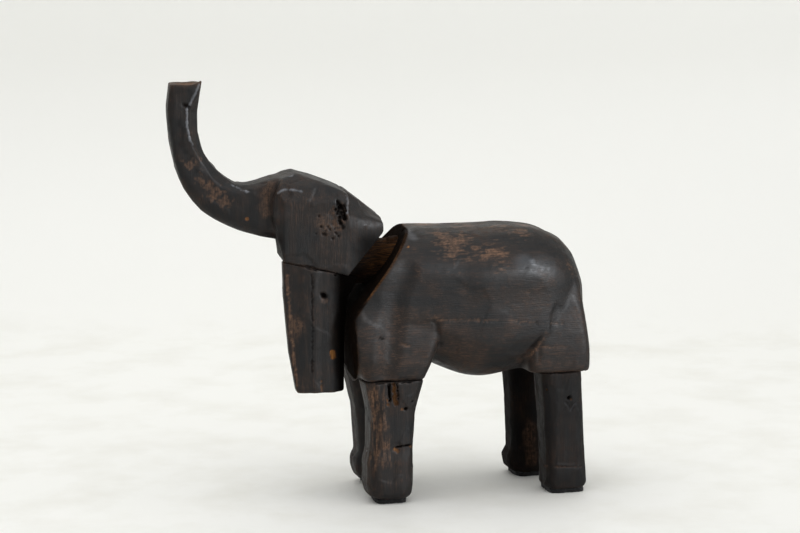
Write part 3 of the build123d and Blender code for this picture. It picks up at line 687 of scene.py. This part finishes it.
def add(tree, kind, links=None, values=None, **settings):
    """Add a node: its settings, its socket values, and what is linked into it."""
    node = tree.nodes.new(kind)
    for name, value in settings.items():
        setattr(node, name, value)
    for socket, value in (values or {}).items():
        node.inputs[socket].default_value = value
    for socket, source in (links or {}).items():
        tree.links.new(source, node.inputs[socket])
    return node


def new_finish(name):
    finish = bpy.data.materials.new(name)
    finish.use_nodes = True
    finish.node_tree.nodes.clear()
    return finish, finish.node_tree


def patches(tree, coordinates, size, low, high, detail=4.0):
    """Soft noise of this size in millimetres, from 0 below low to 1 above high."""
    noise = add(tree, "ShaderNodeTexNoise", {"Vector": coordinates}, {"Scale": 1.0 / (size * MM), "Detail": detail, "Roughness": 0.6})
    edge = add(tree, "ShaderNodeMapRange", {"Value": noise.outputs["Fac"]}, {"From Min": low, "From Max": high})
    return edge.outputs["Result"]


def blend(tree, share, under, over):
    """Lay one colour over another by a share."""
    mix = add(tree, "ShaderNodeMix", {0: share}, data_type="RGBA")
    for socket, colour in ((6, under), (7, over)):
        if isinstance(colour, str):
            mix.inputs[socket].default_value = linear(colour)
        else:
            tree.links.new(colour, mix.inputs[socket])
    return mix.outputs[2]


def sum_of(tree, operation, first, second):
    """Join two values, either of which may be a plain number."""
    math_node = add(tree, "ShaderNodeMath", operation=operation, use_clamp=True)
    for socket, value in ((0, first), (1, second)):
        if isinstance(value, (int, float)):
            math_node.inputs[socket].default_value = value
        else:
            tree.links.new(value, math_node.inputs[socket])
    return math_node.outputs[0]


# %% [markdown]
# ## Blackened hardwood, waxed and rubbed
# The real finish is a thin black stain over reddish-brown hardwood, then wax
# and decades of hands. The stain is uneven along the grain, so brown shows
# through in streaks. Where it is rubbed it turns tan, and in splits the raw wood
# is orange-brown. Cracks and joints hold soot, and places in shade are painted
# near black as painted shade. Wax gives a dull shine, and a grey-blue painted
# highlight lies on ridges and smooth places. Grain runs along the torso but down
# the legs and ears, so the finish is made once for each direction.

# %% Blackened hardwood
def blackened_hardwood(name, grain, bareness, stain="#151516", brown="#2a201a"):
    """Stained hardwood whose grain runs along this axis, with more or less brown bared."""
    finish, tree = new_finish(name)
    place = add(tree, "ShaderNodeTexCoord").outputs["Object"]
    squash = [1.0, 1.0, 1.0]
    squash["xyz".index(grain)] = 0.06
    along = add(tree, "ShaderNodeMapping", {"Vector": place}, {"Scale": squash, "Rotation": (0.03, 0.05, 0.02)}).outputs["Vector"]
    paint = {}
    for layer in LAYERS:
        paint[layer] = add(tree, "ShaderNodeAttribute", attribute_name=layer).outputs["Fac"]

    streaks = patches(tree, along, 1.0, 0.42, 0.70)
    broad_streaks = patches(tree, along, 6.0, 0.44, 0.66)
    clouds = patches(tree, place, 32.0, 0.44, 0.60)
    mottle = patches(tree, place, 7.0, 0.40, 0.66)
    pores = patches(tree, along, 0.55, 0.60, 0.70, detail=2.0)

    base = blend(tree, sum_of(tree, "MULTIPLY", broad_streaks, 0.5), stain, brown)
    base = blend(tree, sum_of(tree, "MULTIPLY", clouds, 0.7 * bareness), base, brown)
    worn_through = sum_of(tree, "ADD", sum_of(tree, "MULTIPLY", clouds, 0.75), 0.12)
    shown = sum_of(tree, "MULTIPLY", sum_of(tree, "MULTIPLY", streaks, mottle), worn_through)
    base = blend(tree, sum_of(tree, "MULTIPLY", shown, bareness), base, "#5a4030")
    flecks = patches(tree, place, 3.0, 0.44, 0.60)
    rub = sum_of(tree, "MULTIPLY", paint["rubbed"], sum_of(tree, "ADD", sum_of(tree, "MULTIPLY", streaks, 0.5), 0.12))
    rub = sum_of(tree, "ADD", rub, sum_of(tree, "MULTIPLY", paint["rubbed"], sum_of(tree, "MULTIPLY", flecks, 0.45)))
    base = blend(tree, rub, base, "#86634a")
    raw_tone = blend(tree, streaks, "#6b4424", "#a8743f")
    base = blend(tree, paint["raw"], base, raw_tone)
    # Painted highlight: the wax layer turns the colour towards bright grey-blue
    base = blend(tree, sum_of(tree, "MULTIPLY", paint["wax"], 0.7), base, "#8f949c")
    base = blend(tree, sum_of(tree, "MULTIPLY", pores, 0.55), base, "#0e0c0b")
    # Soot in cracks and joints, and painted shade, both turn the colour near black
    base = blend(tree, paint["soot"], base, "#080605")

    dull = sum_of(tree, "ADD", sum_of(tree, "MULTIPLY", mottle, 0.14), 0.46)
    dull = sum_of(tree, "ADD", dull, sum_of(tree, "MULTIPLY", paint["raw"], 0.35))
    dull = sum_of(tree, "ADD", dull, sum_of(tree, "MULTIPLY", paint["soot"], 0.4))
    dull = sum_of(tree, "SUBTRACT", dull, sum_of(tree, "MULTIPLY", paint["wax"], 0.3))
    shine = sum_of(tree, "SUBTRACT", 0.21, sum_of(tree, "MULTIPLY", paint["soot"], 0.21))

    height = sum_of(tree, "ADD", sum_of(tree, "MULTIPLY", streaks, 0.35), sum_of(tree, "MULTIPLY", mottle, 0.35))
    height = sum_of(tree, "SUBTRACT", height, sum_of(tree, "MULTIPLY", pores, 0.3))
    bump = add(tree, "ShaderNodeBump", {"Height": height}, {"Strength": 0.55, "Distance": 0.35 * MM})
    shader = add(
        tree, "ShaderNodeBsdfPrincipled",
        {"Base Color": base, "Roughness": dull, "Specular IOR Level": shine, "Normal": bump.outputs["Normal"]},
        {"IOR": 1.5},
    )
    add(tree, "ShaderNodeOutputMaterial", {"Surface": shader.outputs["BSDF"]})
    return finish


grain_along = blackened_hardwood("blackened_hardwood_grain_along", "x", bareness=1.0)
grain_down = blackened_hardwood("blackened_hardwood_grain_down", "z", bareness=0.55)

# %% [markdown]
# ## Raw wood and felt
# The dowels and the peg are bare turned wood: dry, brown, with fine lines along
# the grain. Felt is matted wool: almost no shine, a slight halo at its edges,
# and lumps about a millimetre across.

# %% Raw wood and felt
def raw_turned_wood():
    finish, tree = new_finish("raw_turned_wood")
    place = add(tree, "ShaderNodeTexCoord").outputs["Object"]
    along = add(tree, "ShaderNodeMapping", {"Vector": place}, {"Scale": (0.05, 1.0, 1.0)}).outputs["Vector"]
    lines = patches(tree, along, 1.0, 0.40, 0.62)
    stains = patches(tree, place, 9.0, 0.40, 0.62)
    soot = add(tree, "ShaderNodeAttribute", attribute_name="soot").outputs["Fac"]
    base = blend(tree, lines, "#1a1009", "#4a2f17")
    base = blend(tree, sum_of(tree, "MULTIPLY", stains, 0.6), base, "#22150c")
    # Soot and painted shade turn the raw wood near black
    base = blend(tree, soot, base, "#080605")
    bump = add(tree, "ShaderNodeBump", {"Height": lines}, {"Strength": 0.7, "Distance": 0.5 * MM})
    shader = add(tree, "ShaderNodeBsdfPrincipled", {"Base Color": base, "Normal": bump.outputs["Normal"]}, {"Roughness": 0.85, "Specular IOR Level": 0.06})
    add(tree, "ShaderNodeOutputMaterial", {"Surface": shader.outputs["BSDF"]})
    return finish


def black_felt():
    finish, tree = new_finish("black_felt")
    place = add(tree, "ShaderNodeTexCoord").outputs["Object"]
    lumps = patches(tree, place, 1.2, 0.35, 0.7)
    base = blend(tree, lumps, "#070707", "#17171a")
    bump = add(tree, "ShaderNodeBump", {"Height": lumps}, {"Strength": 0.9, "Distance": 0.5 * MM})
    shader = add(
        tree, "ShaderNodeBsdfPrincipled", {"Base Color": base, "Normal": bump.outputs["Normal"]},
        {"Roughness": 0.95, "Sheen Weight": 0.15, "Specular IOR Level": 0.2},
    )
    add(tree, "ShaderNodeOutputMaterial", {"Surface": shader.outputs["BSDF"]})
    return finish


raw_wood = raw_turned_wood()
felt = black_felt()

# %% [markdown]
# ## Putting it together
# Every carved piece stands for its CAD node and rides on the one body. The
# hidden dowels keep their CAD shape and only get the raw wood.

# %% Dress the pieces
def dress(piece, node, finish):
    piece.data.materials.append(finish)
    piece.data.shade_smooth()
    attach(piece, "root")
    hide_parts(node)


dress(torso, "torso", grain_along)
dress(head, "head", grain_down)
dress(left_ear, "left_ear", grain_down)
dress(right_ear, "right_ear", grain_down)
dress(peg, "neck_peg", raw_wood)
for name, leg in legs.items():
    dress(leg, name + "_leg", grain_down)
    dress(pads[name], name + "_pad", felt)
for node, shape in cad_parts.items():
    if "dowel" in node:
        shape.data.materials.clear()
        shape.data.materials.append(raw_wood)

# %% [markdown]
# ## Floor and wall
# The figure stands on a white painted floor, and a pale wall is about a metre
# behind it. One sheet does both: a long floor, a curve, and a wall, turned to
# face the camera. The paint is uneven and slightly scuffed.

# %% Backdrop
VIEW_AZIMUTH = math.radians(15)
WALL_DISTANCE = 1.05
COVE = 0.32


def backdrop():
    sheet = bmesh.new()
    start = sheet.verts.new((-7.0, 7.0, 0.0))
    end = sheet.verts.new((-7.0, COVE - WALL_DISTANCE, 0.0))
    sheet.edges.new((start, end))
    bmesh.ops.spin(
        sheet, geom=[end], cent=(-7.0, COVE - WALL_DISTANCE, COVE), axis=(1, 0, 0), angle=-math.pi / 2, steps=24,
    )
    sheet.verts.ensure_lookup_table()
    top = min(sheet.verts, key=lambda vert: vert.co.y - vert.co.z)
    risen = bmesh.ops.extrude_vert_indiv(sheet, verts=[top])["verts"]
    bmesh.ops.translate(sheet, verts=risen, vec=(0, 0, 4.0))
    across = bmesh.ops.extrude_edge_only(sheet, edges=sheet.edges[:])["geom"]
    bmesh.ops.translate(sheet, verts=[part for part in across if isinstance(part, bmesh.types.BMVert)], vec=(14, 0, 0))
    bmesh.ops.rotate(
        sheet, verts=sheet.verts, cent=(0, 0, 0),
        matrix=Matrix.Rotation(-VIEW_AZIMUTH, 3, "Z"),
    )
    bmesh.ops.recalc_face_normals(sheet, faces=sheet.faces)
    mesh = bpy.data.meshes.new("floor_and_wall")
    sheet.to_mesh(mesh)
    sheet.free()
    mesh.shade_smooth()
    shape = bpy.data.objects.new("floor_and_wall", mesh)
    bpy.context.collection.objects.link(shape)
    finish, tree = new_finish("white_floor_paint")
    place = add(tree, "ShaderNodeTexCoord").outputs["Object"]
    scuffs = patches(tree, place, 90.0, 0.45, 0.75, detail=8.0)
    specks = patches(tree, place, 9.0, 0.70, 0.76)
    height = add(tree, "ShaderNodeSeparateXYZ", {"Vector": place}).outputs["Z"]
    on_floor = add(tree, "ShaderNodeMapRange", {"Value": height}, {"From Min": 0.02, "From Max": 0.0}).outputs["Result"]
    base = blend(tree, sum_of(tree, "MULTIPLY", scuffs, sum_of(tree, "MULTIPLY", on_floor, 0.8)), "#f3f3ef", "#e7e6df")
    base = blend(tree, sum_of(tree, "MULTIPLY", specks, sum_of(tree, "MULTIPLY", on_floor, 0.35)), base, "#d5cdbf")
    shader = add(tree, "ShaderNodeBsdfPrincipled", {"Base Color": base}, {"Roughness": 0.6})
    add(tree, "ShaderNodeOutputMaterial", {"Surface": shader.outputs["BSDF"]})
    mesh.materials.append(finish)
    return shape


backdrop()

# %% [markdown]
# ## Light
# A pale room gives soft light from all round. A wide lamp above brightens the
# back, and a smaller window to the camera's right makes the shine on the flank.

# %% Lights
def soft_lamp(name, place, aim, wide, high, power, colour=(1.0, 1.0, 1.0), gloss_only=False):
    lamp = bpy.data.lights.new(name, "AREA")
    lamp.shape = "RECTANGLE"
    lamp.size = wide
    lamp.size_y = high
    lamp.energy = power
    lamp.color = colour
    holder = bpy.data.objects.new(name, lamp)
    holder.location = place
    holder.rotation_euler = (Vector(aim) - Vector(place)).to_track_quat("-Z", "Y").to_euler()
    holder.visible_diffuse = not gloss_only
    bpy.context.collection.objects.link(holder)


room = bpy.data.worlds.new("pale_room")
room.use_nodes = True
room.node_tree.nodes["Background"].inputs["Color"].default_value = (1.0, 1.0, 1.0, 1.0)
room.node_tree.nodes["Background"].inputs["Strength"].default_value = 0.62
bpy.context.scene.world = room
soft_lamp("ceiling", (0.2, 0.2, 2.4), (0, 0, 0.1), 2.6, 2.2, 30.0)
soft_lamp("window", (-1.65, 2.2, 0.98), (-0.13, 0.06, 0.2), 0.5, 0.5, 110.0, (0.95, 0.97, 1.0), gloss_only=True)
bpy.context.scene.view_settings.view_transform = "Standard"

# %% [markdown]
# ## Camera
# A long lens, low and a little in front of the elephant's left side: 15 degrees
# off square and 9 degrees above level.

# %% Camera
lens = bpy.data.cameras.new("camera")
lens.sensor_width = 36.0
lens.lens = 117.0
lens.dof.use_dof = False
lens.clip_start = 0.1
lens.clip_end = 40.0
camera = bpy.data.objects.new("camera", lens)
camera.location = (0.5778, 2.2343, 0.5724)
backwards = Vector((0.25563, 0.95401, 0.15643))
camera.rotation_mode = "QUATERNION"
camera.rotation_quaternion = backwards.to_track_quat("Z", "Y")
bpy.context.collection.objects.link(camera)
bpy.context.scene.camera = camera
